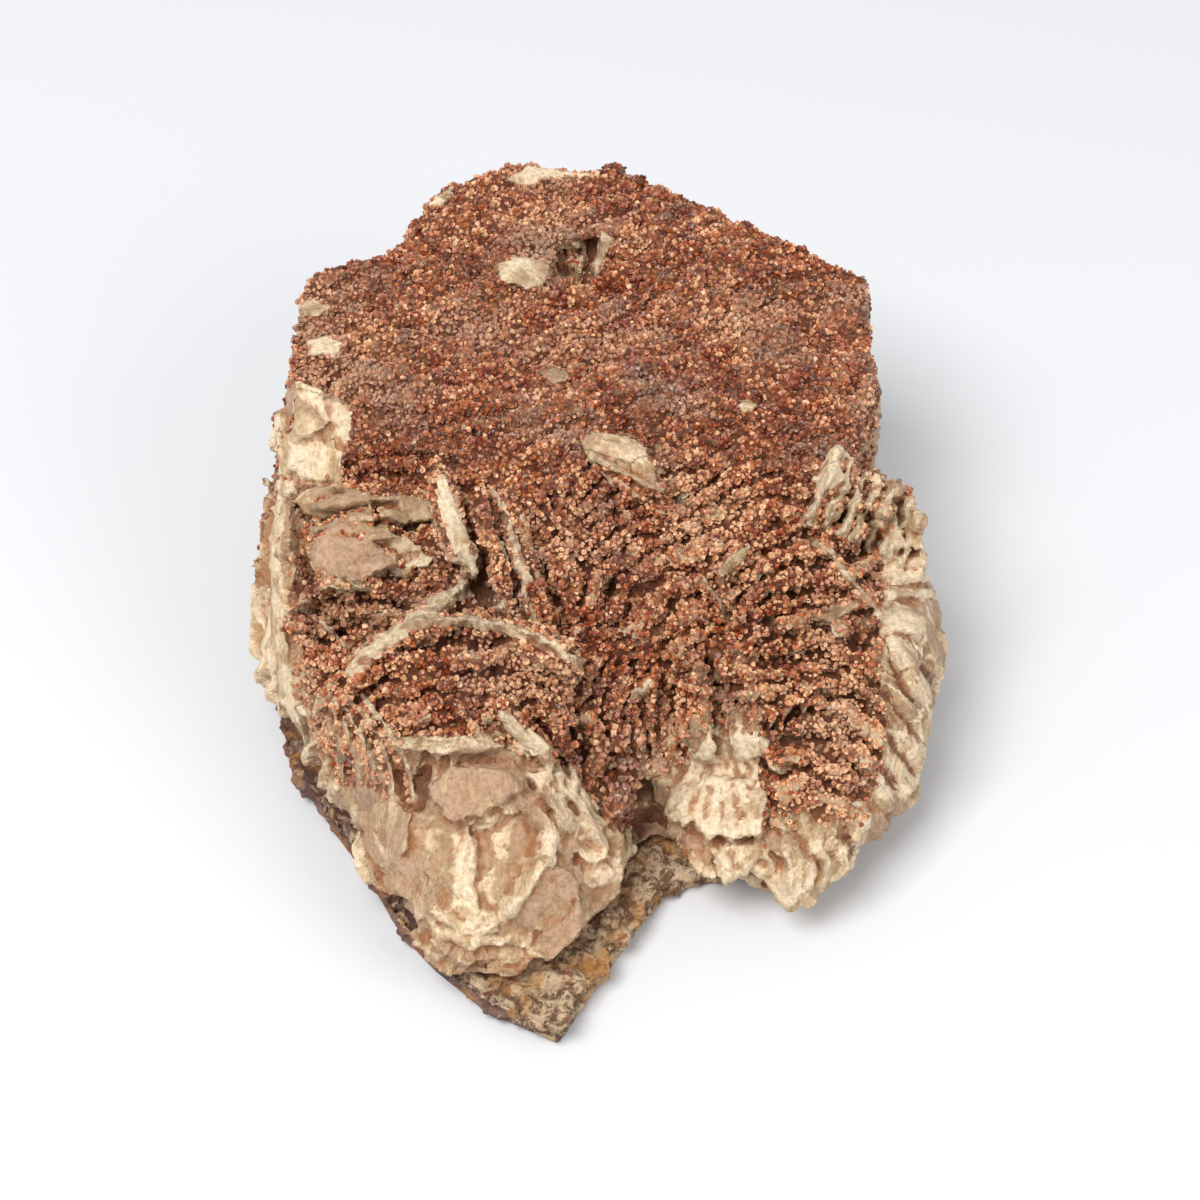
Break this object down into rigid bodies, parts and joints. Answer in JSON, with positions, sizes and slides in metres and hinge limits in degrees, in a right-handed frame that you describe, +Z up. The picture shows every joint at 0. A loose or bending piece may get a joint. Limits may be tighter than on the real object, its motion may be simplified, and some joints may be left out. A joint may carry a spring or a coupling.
{
  "type": "vanadinite specimen",
  "caption": "Loose mineral specimen: a crust of small red-brown crystals over fans of tan blades on a slab of dark host rock, resting on its flat underside.",
  "frame": {"origin": "on the flat underside of the slab, below the middle of the druse's front half", "axes": "+Z up, +Y from the slab's pointed front end towards the back of the druse, +X to the right as seen from the front"},
  "size_m": [0.0953, 0.128, 0.0475],
  "materials": {
    "barite": "tan to cream bladed crystal, satin on fresh faces and dull where weathered",
    "vanadinite": "red-brown crystals with a resinous gloss, dusty in places",
    "host_rock": "dull purplish-brown rock with ochre stains"
  },
  "bodies": {
    "root": {"barite": "barite", "vanadinite_crust": "vanadinite", "matrix": "host_rock"}
  },
  "joints": []
}
